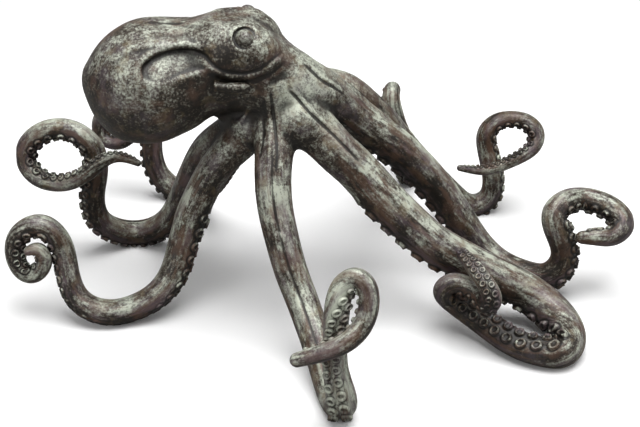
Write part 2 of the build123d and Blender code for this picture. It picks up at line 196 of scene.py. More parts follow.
left_shares = (
    (250, 122, 0.600, 0.84), (215, 142, 0.500, 0.81), (200, 162, 0.392, 0.81),
    (189, 185, 0.280, 0.78), (177, 210, 0.160, 0.74), (160, 227, 0.074, 0.69),
    (137, 233, 0.034, 0.67), (115, 230, 0.064, 0.66), (98, 218, 0.128, 0.645),
    (93, 195, 0.220, 0.625), (96, 172, 0.304, 0.625), (94, 152, 0.376, 0.61),
    (86, 140, 0.420, 0.59), (72, 131, 0.448, 0.56), (55, 129, 0.456, 0.555),
    (38, 135, 0.432, 0.55), (27, 148, 0.384, 0.545), (27, 163, 0.336, 0.525),
    (38, 177, 0.296, 0.49), (55, 183, 0.284, 0.45), (72, 181, 0.304, 0.44),
    (90, 171, 0.352, 0.41), (105, 160, 0.392, 0.35), (120, 157, 0.404, 0.275),
    (138, 163, 0.388, 0.175),
)
back_left_shares = (
    (269, 111, 0.620, 0.78), (238, 141, 0.440, 0.72), (217, 173, 0.240, 0.69),
    (199, 192, 0.084, 0.655), (182, 193, 0.029, 0.64), (168, 184, 0.056, 0.625),
    (158, 172, 0.104, 0.60), (153, 158, 0.160, 0.595), (152, 145, 0.208, 0.575),
    (150, 125, 0.280, 0.54), (132, 108, 0.336, 0.475), (110, 110, 0.332, 0.45),
    (100, 122, 0.288, 0.44), (103, 137, 0.232, 0.425), (116, 143, 0.216, 0.39),
    (127, 140, 0.232, 0.34), (137, 134, 0.252, 0.26),
)

# How far the sucker side has turned about each arm, in degrees, at shares of
# its length.
untwisted_shares = ((0.0, 0), (1.0, 0))
front_left_twist_shares = (
    (0.0, 0), (0.68, 0), (0.80, 35), (0.87, 38), (0.91, 15), (0.95, 15), (1.0, 45),
)
front_centre_twist_shares = (
    (0.0, 0), (0.49, 0), (0.57, -48), (0.68, -50), (0.72, -25),
    (0.76, 20), (0.80, 60), (0.85, 75), (1.0, 72),
)
front_right_twist_shares = (
    (0.0, 0), (0.42, 0), (0.50, -25), (0.55, -70), (0.60, -145),
    (0.65, -167), (0.80, -170), (0.86, -215), (0.90, -182), (0.94, -158), (1.0, -160),
)
right_twist_shares = (
    (0.0, 0), (0.60, 0), (0.66, 25), (0.72, 38), (0.78, 56), (0.84, 66), (0.90, 58),
    (0.95, 20), (1.0, 0),
)
back_right_twist_shares = (
    (0.0, 0), (0.55, 0), (0.62, -10), (0.70, -20), (0.75, -45),
    (0.80, -55), (0.90, -72), (1.0, -70),
)
back_twist_shares = ((0.0, 0), (0.65, 0), (0.78, 25), (1.0, 25))

# Each arm: course, twist, and share of its length at the joint to the body.
arm_shares = {
    "front_left": (front_left_shares, front_left_twist_shares, 0.164),
    "front_centre": (front_centre_shares, front_centre_twist_shares, 0.124),
    "front_right": (front_right_shares, front_right_twist_shares, 0.124),
    "right": (right_shares, right_twist_shares, 0.124),
    "back_right": (back_right_shares, back_right_twist_shares, 0.242),
    "back": (back_shares, back_twist_shares, 0.316),
    "left": (left_shares, untwisted_shares, 0.124),
    "back_left": (back_left_shares, untwisted_shares, 0.164),
}


def smooth_run(points, count):
    """Cubic spline through rows of numbers: each piece is a cubic whose slope and bend carry on
    into the next, with steps set by the square root of the distance between points."""
    points = np.asarray(points, float)
    knots = np.append(0, np.cumsum(np.linalg.norm(np.diff(points[:, :3], axis=0), axis=1) ** 0.5))
    steps = np.diff(knots)
    size = len(points)
    system, bends = np.eye(size), np.zeros_like(points)
    for i in range(1, size - 1):
        system[i, i - 1 : i + 2] = steps[i - 1], 2 * (steps[i - 1] + steps[i]), steps[i]
        bends[i] = 6 * (
            (points[i + 1] - points[i]) / steps[i] - (points[i] - points[i - 1]) / steps[i - 1]
        )
    bends = np.linalg.solve(system, bends)
    at = np.linspace(0, knots[-1], count)
    j = np.clip(np.searchsorted(knots, at, side="right") - 1, 0, size - 2)
    left, right = (knots[j + 1] - at)[:, None], (at - knots[j])[:, None]
    step = steps[j][:, None]
    return (
        (bends[j] * left**3 + bends[j + 1] * right**3) / (6 * step)
        + (points[j] / step - bends[j] * step / 6) * left
        + (points[j + 1] / step - bends[j + 1] * step / 6) * right
    )


def unit(vectors):
    """Vectors scaled to length 1."""
    return vectors / np.maximum(np.linalg.norm(vectors, axis=-1, keepdims=True), 1e-12)


def arm_line(name):
    """Fine course of an arm: places, radii, distance run, direction, and sucker side. The side
    starts downwards and is carried along by two mirrorings a step, then turned by the twist."""
    course, twist, joint = arm_shares[name]
    columns, rows, heights, girths = np.array(course).T
    places = at_height(columns, rows, heights * head_height) + home
    fine = smooth_run(np.column_stack([places, girths * arm_radius]), 1200)
    places, radii = fine[:, :3], fine[:, 3]
    run = np.append(0, np.cumsum(np.linalg.norm(np.diff(places, axis=0), axis=1)))
    along = unit(np.gradient(places, axis=0))
    down = np.array([0, 0, -1.0])
    sides = [unit(down - along[0] * (along[0] @ down))]
    for i in range(len(places) - 1):
        step = places[i + 1] - places[i]
        side = sides[-1] - step * (2 * (step @ sides[-1]) / (step @ step))
        carried = along[i] - step * (2 * (step @ along[i]) / (step @ step))
        turn = along[i + 1] - carried
        sides.append(side - turn * (2 * (turn @ side) / max(turn @ turn, 1e-18)))
    sides = np.array(sides)
    sides = unit(sides - along * np.sum(sides * along, axis=1, keepdims=True))
    shares, degrees = np.array(twist).T
    angle = np.radians(np.interp(run / run[-1], shares, degrees))[:, None]
    sides = sides * np.cos(angle) + np.cross(along, sides) * np.sin(angle)
    return {
        "places": places, "radii": radii, "run": run, "along": along,
        "sides": sides, "joint": joint * run[-1],
    }


def along_line(line, marks, key):
    """Values of an arm's course at distances along it."""
    values = line[key]
    if values.ndim == 1:
        return np.interp(marks, line["run"], values)
    return np.stack([np.interp(marks, line["run"], values[:, i]) for i in range(3)], -1)


lines = {name: arm_line(name) for name in arm_shares}
joint_marks = np.array([line["joint"] for line in lines.values()])
for name, line in lines.items():
    print(name, "length", round(line["run"][-1], 3), "joint at", round(line["joint"], 3))

# %% [markdown]
# A modeller in wax builds the body from lumps pressed together: the mantle and
# head as one long form, a swelling under each eye, and the roots of the arms.
# Metaballs do that in Blender, but they can't be carved afterwards. A distance
# field can: each lump gives every point of a grid its distance to that lump, a
# soft minimum joins the lumps with rounded webs between them, and the skin is
# the surface where the distance is nothing.

# %% Grid of the body field
body_low, body_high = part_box("mantle_and_head")
voxel = 1.2 * mm
margin = 14 * mm
grid_low = np.array(body_low) - margin
counts = np.ceil((np.array(body_high) + margin - grid_low) / voxel).astype(int) + 1
axes = [grid_low[i] + voxel * np.arange(counts[i]) for i in range(3)]
grid_x, grid_y, grid_z = np.meshgrid(*axes, indexing="ij", sparse=True)
print("grid", counts, "of", round(voxel / mm, 2), "mm")

# %% Long form of mantle and head
# Its outline: picture column, top row, bottom row, and width as a share of height.
body_outline = (
    (82.3, 80, 80, 1.0), (84, 68, 92, 1.0), (88, 60, 103, 1.0), (94, 49.5, 116, 1.0),
    (104, 36, 129, 1.0), (116, 25.5, 139, 1.0), (134, 15.8, 144.5, 1.0), (152, 13.6, 145, 1.0),
    (167, 14.6, 142.2, 1.0), (181, 17.5, 136, 0.97), (196, 21, 128, 0.92), (208, 24, 119, 0.90),
    (222, 25.5, 113, 0.90), (238, 27, 110, 0.90), (252, 29, 112, 0.88), (264, 32, 116, 0.84),
    (276, 36, 120, 0.84), (290, 43.5, 120, 0.84), (302, 52, 116, 0.88), (313, 63, 110, 0.90),
    (324, 75, 105, 0.9), (334, 88, 100, 0.9), (338, 94, 96, 0.9),
)


def body_form():
    """Long form: at each X its section is an ellipse about the line midway between the outline's
    top and bottom. Squared height over the grid minus the squared half height, over the slope."""
    columns, top_rows, bottom_rows, widths = np.array(body_outline).T
    tops = at_depth(columns, top_rows, body_middle) + home
    bottoms = at_depth(columns, bottom_rows, body_middle) + home
    centres = (tops + bottoms) / 2
    seen = np.linalg.norm(tops - bottoms, axis=1) / 2 * math.cos(sight_tilt)
    halves = seen / np.sqrt((widths * math.sin(sight_tilt)) ** 2 + math.cos(sight_tilt) ** 2)
    rows = np.column_stack([centres[:, 0], 0 * widths, 0 * widths, centres[:, 2], halves**2, widths])
    fine = smooth_run(rows, 600)
    x = axes[0]
    height, square, width = (np.interp(x, fine[:, 0], fine[:, i]) for i in (3, 4, 5))
    # Past each end the squared half height runs on straight, below nothing.
    for edge, sign in ((0, -1), (-1, 1)):
        inner = fine[edge - sign * 12]
        slope = (fine[edge, 4] - inner[4]) / (fine[edge, 0] - inner[0])
        beyond = x - fine[edge, 0]
        square = np.where(sign * beyond > 0, fine[edge, 4] + slope * beyond, square)
    height, width, square = (v[:, None, None] for v in (height, width, square))
    middle = body_middle + home[1]
    form = (grid_z - height) ** 2 + ((grid_y - middle) / width) ** 2 - square
    slopes = np.gradient(form, voxel)
    return form / np.maximum(np.sqrt(sum(s**2 for s in slopes)), 4 * mm)


def joined(forms, softness):
    """Soft minimum: minus the log of the sum of exponentials of minus each distance."""
    return -softness * np.log(sum(np.exp(np.clip(-f / softness, -60, 60)) for f in forms))


long_form = body_form()
print("long form", long_form.shape, "least", round(float(long_form.min()), 4))

# %% Lumps and roots of the arms
def lump(centre, radii, turn=0.0, tilt=0.0):
    """Egg-shaped lump: distance to the centre with each axis scaled by its radius, turned about
    Z and then tilted about Y, times the least radius."""
    dx, dy, dz = grid_x - centre[0], grid_y - centre[1], grid_z - centre[2]
    dx, dy = dx * math.cos(turn) + dy * math.sin(turn), dy * math.cos(turn) - dx * math.sin(turn)
    dx, dz = dx * math.cos(tilt) + dz * math.sin(tilt), dz * math.cos(tilt) - dx * math.sin(tilt)
    size = np.sqrt((dx / radii[0]) ** 2 + (dy / radii[1]) ** 2 + (dz / radii[2]) ** 2)
    return (size - 1) * min(radii)


def root_form(name, reach, stop):
    """Root of an arm: the least distance to short cones along its course, up to a reach past
    the joint, and cut by a plane across the course at a stop past the joint."""
    line = lines[name]
    marks = np.arange(0, line["joint"] + reach, 7 * mm)
    places, radii = along_line(line, marks, "places"), along_line(line, marks, "radii")
    around = 32 * mm
    field = np.full(tuple(counts), 0.2)
    for a, b, ra, rb in zip(places, places[1:], radii, radii[1:]):
        low, high = np.minimum(a, b) - around, np.maximum(a, b) + around
        window = tuple(
            slice(*np.clip(np.searchsorted(axes[i], (low[i], high[i])), 0, counts[i]))
            for i in range(3)
        )
        near = grid_x[window[0]], grid_y[:, window[1]], grid_z[:, :, window[2]]
        off, step = [g - start for g, start in zip(near, a)], b - a
        share = np.clip(sum(o * s for o, s in zip(off, step)) / (step @ step), 0, 1)
        away = np.sqrt(sum((o - share * s) ** 2 for o, s in zip(off, step)))
        field[window] = np.minimum(field[window], away - ra - share * (rb - ra))
    spot, way = (along_line(line, line["joint"], key) for key in ("places", "along"))
    way = unit(way)
    beyond = (grid_x - spot[0]) * way[0] + (grid_y - spot[1]) * way[1] + (grid_z - spot[2]) * way[2]
    return field, np.maximum(field, beyond - stop)


def beside(x, off, z, side):
    """Point at X and Z of the layout and a distance from the body's middle, on the near side
    (-1) or the far side (1)."""
    return np.array([x, body_middle + side * off, z]) + home


lumps = []
for side in (-1, 1):
    brow = beside(-66 * mm, 11.3 * mm, 228 * mm, side)
    cheek = beside(-66 * mm, 19.5 * mm, 219 * mm, side)
    lumps.append(lump(brow, (24 * mm, 13.2 * mm, 13.4 * mm), 0.10 * side, 0.05))
    lumps.append(lump(cheek, (24 * mm, 10.5 * mm, 11 * mm), 0.08 * side, 0.10))
web = lump(at_depth(238, 105, body_middle + 12 * mm) + home, (20 * mm, 14 * mm, 11 * mm))
long_form = joined([long_form, *lumps], 6.0 * mm)
whole_arms, cut_arms = zip(*(root_form(name, 60 * mm, 6 * mm) for name in arm_shares))
web_softness = 4.2 * mm
whole_field = joined([long_form, web, *whole_arms], web_softness)
body_field = joined([long_form, web, *cut_arms], web_softness)
print("field", body_field.shape, "least", round(float(body_field.min()), 4))

# %% [markdown]
# The finer forms are carved as a modeller would carve them, by strokes seen from
# the side: furrows, ridges and the ear-shaped hollow. Sculpting by hand would do
# it too, but a stroke kept as a line in the picture, with a width and a depth,
# can be read and changed. Each is laid on the near side where the surface faces
# the viewpoint, and mirrored to the far side.

# %% Strokes
def stroke_distance(columns, rows, points):
    """Distance in pixels from picture places to a run of straight steps."""
    nearest = np.full(columns.shape, 1e9)
    for (ax, ay), (bx, by) in zip(points, points[1:]):
        sx, sy = bx - ax, by - ay
        share = np.clip(((columns - ax) * sx + (rows - ay) * sy) / (sx * sx + sy * sy), 0, 1)
        away = np.hypot(columns - ax - share * sx, rows - ay - share * sy)
        nearest = np.minimum(nearest, away)
    return nearest


def curve_points(points, count=24):
    """Points of a picture line, rounded through its corners."""
    flat = np.column_stack([np.array(points, float), np.zeros(len(points))])
    return smooth_run(flat, count)[:, :2]


def rounded_step(value, low, high):
    """0 below low, 1 above high, and an even S-curve between."""
    share = np.clip((value - low) / (high - low), 0, 1)
    return share * share * (3 - 2 * share)


# Each stroke: picture line, half width in pixels, height out of the surface.
head_strokes = (
    # Furrow along the back, and the roll on its near side.
    (((132, 18), (150, 19.5), (164, 21.5), (178, 25), (192, 27), (206, 26), (216, 23)), 4.4, -0.6 * mm),
    (
        ((104, 66), (112, 58), (122, 50.5), (136, 46), (154, 43.5), (174, 42.5), (194, 42)),
        4.5, 1.4 * mm,
    ),
    # Fold of the cheek, with the furrow above it.
    (
        ((200, 60), (210, 68), (220, 74), (231, 77), (246, 77.5), (261, 73.5), (273, 65), (288, 53)),
        3.0, 1.3 * mm,
    ),
    (((200, 50), (213, 64.5), (224, 70.5), (236, 73), (248, 72.7), (264, 67)), 2.0, -0.9 * mm),
    (((208, 73), (218, 78), (228, 81), (239, 82), (250, 80.5), (262, 76), (272, 70)), 1.3, -0.9 * mm),
    (((244, 85), (256, 82), (266, 77), (276, 70), (284, 63)), 1.2, -0.7 * mm),
    # Shadowed dip between cheek and crown.
    (((262, 84), (274, 80), (286, 74), (293, 70)), 6.0, -1.8 * mm),
    (((196, 47), (204, 50), (212, 56), (219, 61)), 3.0, -1.6 * mm),
    # Brow over the eye.
    (((208, 27), (217, 23), (228, 20.8), (240, 20.5), (251, 24), (259, 31), (266, 38)), 2.4, 0.8 * mm),
)
# Furrows and crests where the arms leave the crown, on the near side only.
root_strokes = (
    (((270, 86), (272, 103), (274, 118), (276, 136), (277, 156), (275, 180)), 1.6, -1.3 * mm),
    (((262, 112), (264, 130), (262, 148), (258, 168)), 1.5, -0.8 * mm),
    (((267, 92), (269, 115), (270, 134), (267, 160)), 1.8, 0.8 * mm),
    (
        ((287, 88), (297, 98), (305, 108), (318, 121), (332, 134), (346, 148), (362, 165)),
        1.4, -1.2 * mm,
    ),
    (((289, 84), (300, 97), (309, 106), (322, 119), (336, 132), (350, 145), (366, 162)), 1.6, 0.7 * mm),
    (((300, 60), (313, 73), (322, 81), (334, 88), (348, 96), (366, 104)), 1.4, -1.2 * mm),
    (((304, 58), (318, 72), (327, 79), (339, 86), (360, 95)), 1.6, 0.6 * mm),
    (((250, 104), (246, 114), (238, 124), (228, 134)), 1.8, 0.8 * mm),
)


def drawn(columns, rows, strokes):
    """Height to add at picture places: each stroke is a bell curve across its line, and fades
    out at both of its ends."""
    height = np.zeros(columns.shape)
    for points, width, out in strokes:
        away = stroke_distance(columns, rows, curve_points(points))
        ends = [np.hypot(columns - x, rows - y) for x, y in (points[0], points[-1])]
        height += out * np.exp(-((away / width) ** 2)) * rounded_step(np.minimum(*ends), 0, 14)
    return height


print("strokes", len(head_strokes), "on the head and", len(root_strokes), "on the arms' roots")

# %% The hollow of the cheek
hollow_outline = (
    (139.2, 74), (141, 66.5), (147, 60), (156, 54.2), (168, 49.8), (182, 47.6), (196, 48.6),
    (208, 54), (216, 62), (219, 70), (208, 72), (198, 74), (187, 78), (178, 83),
    (170, 87.5), (161, 90.2), (152, 90), (144.5, 85.5), (140.5, 80),
)
hollow_depth = 5.2 * mm


def inside(columns, rows, points):
    """True inside a closed picture outline: an odd number of its edges lies to the left."""
    odd = np.zeros(columns.shape, bool)
    for (ax, ay), (bx, by) in zip(points, np.roll(points, -1, axis=0)):
        if ay == by:
            continue
        crosses = (ay > rows) != (by > rows)
        odd ^= crosses & (columns > ax + (rows - ay) * (bx - ax) / (by - ay))
    return odd


def head_carving(columns, rows):
    """Height of the head's strokes and its hollow, which is deepest under its upper edge and
    runs out to nothing near its lower right."""
    height = drawn(columns, rows, head_strokes)
    outline = curve_points(hollow_outline + hollow_outline[:1], 90)
    away = stroke_distance(columns, rows, outline)
    within = np.where(inside(columns, rows, outline), away, -away)
    lower = rounded_step(rows - 0.10 * (176 - columns), 56, 90)
    left = 1 - rounded_step(columns, 186, 218)
    wall = rounded_step(within, -0.6, 2.8 + 9 * lower)
    height -= hollow_depth * wall * (1 - 0.9 * lower) * (0.2 + 0.8 * left)
    height += 0.6 * mm * np.exp(-(((within + 3.2) / 3.2) ** 2)) * (1 - lower) * (0.4 + 0.6 * left)
    return height


print("hollow", len(hollow_outline), "points,", round(hollow_depth / mm, 1), "mm deep")

# %% Lids of the eyes
eye_radius = 7.0 * mm
eye_pixel = (244.6, 39)
eye_offset = 0.096 * head_height
eye_facing = (0.16, 0.80, 0.55)
gap_depth, gap_radius, gap_width = 3.2 * mm, 7.8 * mm, 1.0 * mm
ring_height, ring_radius, ring_width = 0.9 * mm, 9.8 * mm, 0.9 * mm


def eye_axis(side):
    """Centre and outward direction of an eye: its sight line at the eye's distance from the
    body's middle, mirrored for the far side."""
    spot = at_depth(*eye_pixel, body_middle - eye_offset)
    ahead, out, up = eye_facing
    return beside(spot[0], eye_offset, spot[2], side), unit(np.array([ahead, side * out, up]))


def lid(points, side):
    """Height round an eye: a gap next to the dome, widest towards the mantle, inside a raised
    ring. Both are bell curves of the distance from the eye's axis."""
    centre, facing = eye_axis(side)
    away = points - centre
    along = away @ facing
    across = away - along[:, None] * facing
    radius = np.linalg.norm(across, axis=1)
    gap_way = unit(np.array([-0.75, 0, 0.65]))
    share = 0.5 + 0.5 * (across @ gap_way) / np.maximum(radius, 1e-6)
    gap = -gap_depth * share**1.5 * np.exp(-(((radius - gap_radius) / gap_width) ** 2))
    ring = ring_height * (0.2 + 0.8 * share) * np.exp(-(((radius - ring_radius) / ring_width) ** 2))
    return np.where(np.abs(along) < 14 * mm, gap + ring, 0)


print("eye", eye_axis(-1)[0].round(4), "radius", eye_radius)

# %% Creases of the arms
crease_width = 1.25 * mm


def crease(offset, radii):
    """Height of the crease along an arm's back at a distance from its middle line: a furrow
    with a soft crest on one side."""
    furrow = -0.065 * radii * np.exp(-((offset / crease_width) ** 2))
    crest = 0.05 * radii * np.exp(-(((offset - 2.6 * mm) / (2.2 * mm)) ** 2))
    return furrow + crest


def from_back(angle, radius):
    """Distance round an arm from the middle line of its back."""
    return (np.abs(angle) - math.pi) * np.sign(angle) * radius


def arm_coordinates(points, spacing):
    """For points near the roots: number of the nearest arm, distance run along it, angle round
    it from its sucker side, radius there, and how surely they belong to it."""
    best = np.full(len(points), 9.0)
    number, run, angle, radius = (np.zeros(len(points)) for _ in range(4))
    for index, line in enumerate(lines.values()):
        marks = np.arange(0.15 * line["joint"], line["joint"] + 12 * mm, spacing)
        places, radii = along_line(line, marks, "places"), along_line(line, marks, "radii")
        low, high = places.min(0) - 26 * mm, places.max(0) + 26 * mm
        near = np.flatnonzero(np.all((points > low) & (points < high), axis=1))
        away, at = np.full(len(near), 9.0), np.zeros(len(near), int)
        for j, (place, r) in enumerate(zip(places, radii)):
            far = np.linalg.norm(points[near] - place, axis=1) / r
            closer = far < away
            away[closer], at[closer] = far[closer], j
        nearer = away < best[near]
        near, at, away = near[nearer], at[nearer], away[nearer]
        way, side = along_line(line, marks, "along")[at], along_line(line, marks, "sides")[at]
        offset = points[near] - places[at]
        best[near], number[near] = away, index
        run[near] = marks[at] + np.sum(offset * way, axis=1)
        angle[near] = np.arctan2(
            np.sum(offset * np.cross(way, side), axis=1), np.sum(offset * side, axis=1)
        )
        radius[near] = radii[at]
    number = number.astype(int)
    sure = (1 - rounded_step(best, 1.25, 1.75)) * rounded_step(run / joint_marks[number], 0.25, 0.85)
    return number, run, angle, radius, sure


print("crease", round(crease_width / mm, 2), "mm wide on", len(lines), "arms")

# %% Carve both fields
def carve(field):
    """Field with the strokes taken off near its surface, on both sides of the body."""
    slopes = np.stack(np.gradient(field, voxel), -1)
    near = np.abs(field) < 9 * mm
    points = grid_low + np.argwhere(near) * voxel - home
    normals = unit(slopes[near])
    height = np.zeros(len(points))
    for side in (-1, 1):
        seen, facing = points.copy(), normals.copy()
        if side == 1:
            seen[:, 1] = 2 * body_middle - seen[:, 1]
            facing[:, 1] *= -1
        columns, rows = to_picture(seen)
        # Strokes fade out towards the edge of the figure as seen, and at its middle.
        shows = rounded_step(-(facing @ forward), -0.15, 0.25)
        shows = shows * rounded_step(body_middle + 5 * mm - seen[:, 1], 0, 6 * mm)
        touched = shows > 0.001
        cut = head_carving(columns[touched], rows[touched])
        if side == -1:
            cut += drawn(columns[touched], rows[touched], root_strokes)
        height[touched] += cut * shows[touched]
        height += lid(points + home, side)
    crown = np.flatnonzero(points[:, 0] > -0.07)
    _, _, angle, radius, sure = arm_coordinates(points[crown] + home, 4 * mm)
    height[crown] += crease(from_back(angle, radius), radius) * sure
    carved = field.copy()
    carved[near] -= height
    return carved


body_field = carve(body_field)
whole_field = carve(whole_field)
print("carved, least", round(float(body_field.min()), 4))

# %% [markdown]
# The skin of the field is meshed by a surface net: every cell of the grid that
# the surface passes through gets one point, at the mean of its crossings, and
# every grid edge that crosses the surface gets one face between four cells. A
# Remesh modifier does the same inside Blender, but it only takes a mesh.

# %% Surface net
cell_corners = list(product((0, 1), repeat=3))


def surface_net(field):
    """Points and outward quads where the field changes sign, as whole arrays."""
    solid = field < 0
    cells = tuple(n - 1 for n in field.shape)
    number = np.zeros(cells, int)
    corners = {}
    for corner in cell_corners:
        corners[corner] = tuple(slice(o, o + n) for o, n in zip(corner, cells))
        number += solid[corners[corner]]
    mixed = (number > 0) & (number < 8)
    total, hits = np.zeros((mixed.sum(), 3)), np.zeros(mixed.sum())
    for first, axis in product(cell_corners, range(3)):
        if first[axis]:
            continue
        second = tuple(1 if n == axis else o for n, o in enumerate(first))
        a, b = field[corners[first]][mixed], field[corners[second]][mixed]
        cross = (a < 0) != (b < 0)
        spot = np.tile(np.array(first, float), (len(a), 1))
        spot[:, axis] = a / np.where(cross, a - b, 1)
        total[cross] += spot[cross]
        hits += cross
    places = np.argwhere(mixed) + total / hits[:, None]
    index = np.full(cells, -1)
    index[mixed] = np.arange(len(places))
    quads = []
    for axis in range(3):
        u, v = (axis + 1) % 3, (axis + 2) % 3
        here = [slice(1, -1)] * 3
        here[axis] = slice(0, -1)
        ahead = list(here)
        ahead[axis] = slice(1, None)
        a, b = solid[tuple(here)], solid[tuple(ahead)]
        for change, turned_over in ((a & ~b, False), (~a & b, True)):
            at = np.argwhere(change)
            at[:, [u, v]] += 1
            around = []
            for du, dv in ((-1, -1), (0, -1), (0, 0), (-1, 0)):
                cell = at.copy()
                cell[:, [u, v]] += (du, dv)
                around.append(index[tuple(cell.T)])
            quad = np.stack(around, 1)
            quads.append(quad[:, ::-1] if turned_over else quad)
    return grid_low + places * voxel, np.concatenate(quads)


def sampled(field, points):
    """Field at points between the grid's, by weighting the eight corners of each cell."""
    spot = (points - grid_low) / voxel
    cell = np.clip(np.floor(spot).astype(int), 0, counts - 2)
    share = np.clip(spot - cell, 0, 1)
    value = 0
    for i, j, k in cell_corners:
        weight = np.prod(np.where((i, j, k), share, 1 - share), axis=-1)
        value = value + weight * field[cell[..., 0] + i, cell[..., 1] + j, cell[..., 2] + k]
    return value


def summed(values, at, count):
    """Rows of three values added up at the points that they belong to."""
    return np.stack([np.bincount(at, values[:, i], minlength=count) for i in range(3)], 1)


def relaxed(points, quads, rounds, keep=0.5):
    """Points moved part of the way to the mean of their neighbours, some rounds over."""
    corner, after = quads.ravel(), np.roll(quads, -1, axis=1).ravel()
    starts, ends = np.append(corner, after), np.append(after, corner)
    count = np.maximum(np.bincount(starts, minlength=len(points))[:, None], 1)
    for _ in range(rounds):
        mean = summed(points[ends], starts, len(points)) / count
        points = points + keep * (mean - points)
    return points


def point_normals(points, quads):
    """Outward directions at points: the sum of the crossed diagonals of their faces."""
    a, b, c, d = (points[quads[:, i]] for i in range(4))
    crossed = np.repeat(np.cross(c - a, d - b), 4, axis=0)
    return unit(summed(crossed, quads.ravel(), len(points)))


def to_surface(field, points, quads, rounds=3):
    """Points slid along their normals until the field is nothing there."""
    for _ in range(rounds):
        normals = point_normals(points, quads)
        points = points - normals * np.clip(sampled(field, points), -voxel, voxel)[:, None] * 0.8
    return points


skin_points, skin_quads = surface_net(body_field)
skin_points = relaxed(skin_points, skin_quads, 2)
skin_points = to_surface(body_field, skin_points, skin_quads)
skin_points = relaxed(skin_points, skin_quads, 1, 0.3)
print("skin points", len(skin_points), "faces", len(skin_quads))

# %% [markdown]
# Each piece becomes a Blender mesh in one call. On the real figure the pale wash
# lies on what stands proud and the dark stays in what is hollow. Vertex paint
# could say where, but the shape already does, so each point carries its relief:
# how far it stands out of a smoothed copy of its own surface.

# %% Dabs of wash and of painted shade
# Where more or less wash was left, and where shade is painted: picture place, reach in pixels, amount.
# The darker dabs under the head and in the dip between cheek and crown are painted shade.
body_dabs_with_painted_shade = (
    (224, 60, 20, -0.16), (243, 39, 8, -0.04), (293, 106, 25, 0.30), (270, 78, 11, -0.12),
    (312, 80, 20, 0.22), (100, 82, 18, -0.18), (122, 36, 16, -0.10), (190, 78, 13, -0.20),
    (283, 88, 15, 0.22), (232, 104, 10, -0.12), (232, 88, 13, -0.08), (150, 118, 22, -0.03),
    (226, 18, 12, -0.06), (258, 118, 10, 0.15), (238, 132, 14, 0.10), (330, 130, 18, 0.12),
    (205, 92, 14, -0.06),
)
# On the arms, the darker dabs along the underside of the right arm and on the far back left arm are
# painted shade.
arm_dabs_with_painted_shade = {
    "front_left": ((215, 175, 30, 0.22), (192, 225, 24, 0.13), (28, 240, 24, 0.22)),
    "front_centre": (
        (285, 190, 46, 0.23), (300, 260, 40, 0.06), (352, 300, 26, 0.22), (340, 395, 24, 0.20),
    ),
    "front_right": (
        (450, 297, 24, -0.20), (515, 343, 32, -0.14), (425, 262, 18, -0.10),
        (375, 165, 14, -0.14), (480, 278, 16, 0.22), (575, 335, 20, -0.12),
    ),
    "right": (
        (405, 175, 20, -0.20), (430, 200, 22, -0.24), (455, 232, 20, -0.22),
        (540, 268, 18, -0.22), (425, 132, 18, 0.18), (462, 180, 14, 0.14), (380, 110, 16, 0.10),
    ),
    "back_right": ((470, 205, 18, 0.06), (510, 135, 26, 0.03)),
    "back": ((390, 100, 20, 0.05),),
    "left": ((140, 225, 30, -0.04), (40, 160, 28, 0.17)),
    "back_left": ((152, 155, 26, -0.34), (112, 132, 20, -0.26)),
}


def dabbed(points, dabs):
    """Wash, and the shade painted by some dabs, added at points: a bell curve about each dab's picture
    place.
    """
    columns, rows = to_picture(points - home)
    amount = np.zeros(len(points))
    for column, row, reach, more in dabs:
        amount += more * np.exp(-((columns - column) ** 2 + (rows - row) ** 2) / reach**2)
    return amount


print("dabs", len(body_dabs_with_painted_shade), "on the body and", sum(map(len, arm_dabs_with_painted_shade.values())), "on the arms")

# %% Meshes
arm_gap = 0.71


def arm_grain(number, run, angle, radius):
    """Place on an unrolled arm: distance run, set apart for each arm, then the round section."""
    return np.stack([run + arm_gap * number, radius * np.cos(angle), radius * np.sin(angle)], -1)


def inside_box(points):
    """Points kept in the box of the solids: in the last 1.5 mm before its ends and its top, the
    way out is bent by a hyperbolic tangent."""
    bend = 1.5 * mm
    over = np.maximum(points - np.array(cad_high) + (bend, 0, bend), 0)
    under = np.maximum(np.array(cad_low) + (bend, 0, 0) - points, 0)
    top = np.tanh(over / bend) * (bend, 0, bend) - over
    return points + top + under - np.tanh(under / bend) * (bend, 0, 0)


def make_piece(name, points, faces, node, gain=1.0, shown=1.0, dab=0.0, grain=None, streaked=0.0):
    """Smooth mesh object from points and faces (quads, or triangles padded by a repeat), with
    four attributes: its relief (how far each point stands out of its smoothed surroundings, in
    millimetres, times a gain that makes up for the size of the faces), its dabs of wash and of
    painted shade and light, its place along and round an arm, and how far it is arm."""
    points = inside_box(points)
    mesh = bpy.data.meshes.new(name)
    mesh.from_pydata(points, [], [tuple(dict.fromkeys(f)) for f in faces.tolist()])
    mesh.shade_smooth()
    proud = np.sum((points - relaxed(points, faces, 12)) * point_normals(points, faces), axis=1)
    relief = shown * (gain * proud / mm - 0.35)
    for key, values in (("relief", relief), ("dab", dab), ("streaked", streaked)):
        values = np.full(len(points), values, np.float32)
        mesh.attributes.new(key, "FLOAT", "POINT").data.foreach_set("value", values)
    grain = (points if grain is None else grain).astype(np.float32)
    mesh.attributes.new("grain", "FLOAT_VECTOR", "POINT").data.foreach_set("vector", grain.ravel())
    piece = bpy.data.objects.new(name, mesh)
    bpy.context.scene.collection.objects.link(piece)
    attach(piece, "root")
    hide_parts(node)
    print(name, "faces", len(faces), "relief", relief.min().round(2), "to", relief.max().round(2))
    return piece


# %% Body casting
number, run, angle, radius, sure = arm_coordinates(skin_points, 2 * mm)
# The relief fades before each joint, where the arm takes over.
shown = 1 - rounded_step(run - joint_marks[number], -14 * mm, -5 * mm) * sure
near_side = skin_points.copy()
middle = body_middle + home[1]
near_side[:, 1] = middle - np.abs(skin_points[:, 1] - middle)
pieces = {
    "body": make_piece(
        "body_casting", skin_points, skin_quads, "mantle_and_head", (2 * mm / voxel) ** 2,
        shown, dabbed(near_side, body_dabs_with_painted_shade), arm_grain(number, run, angle, radius), sure,
    )
}

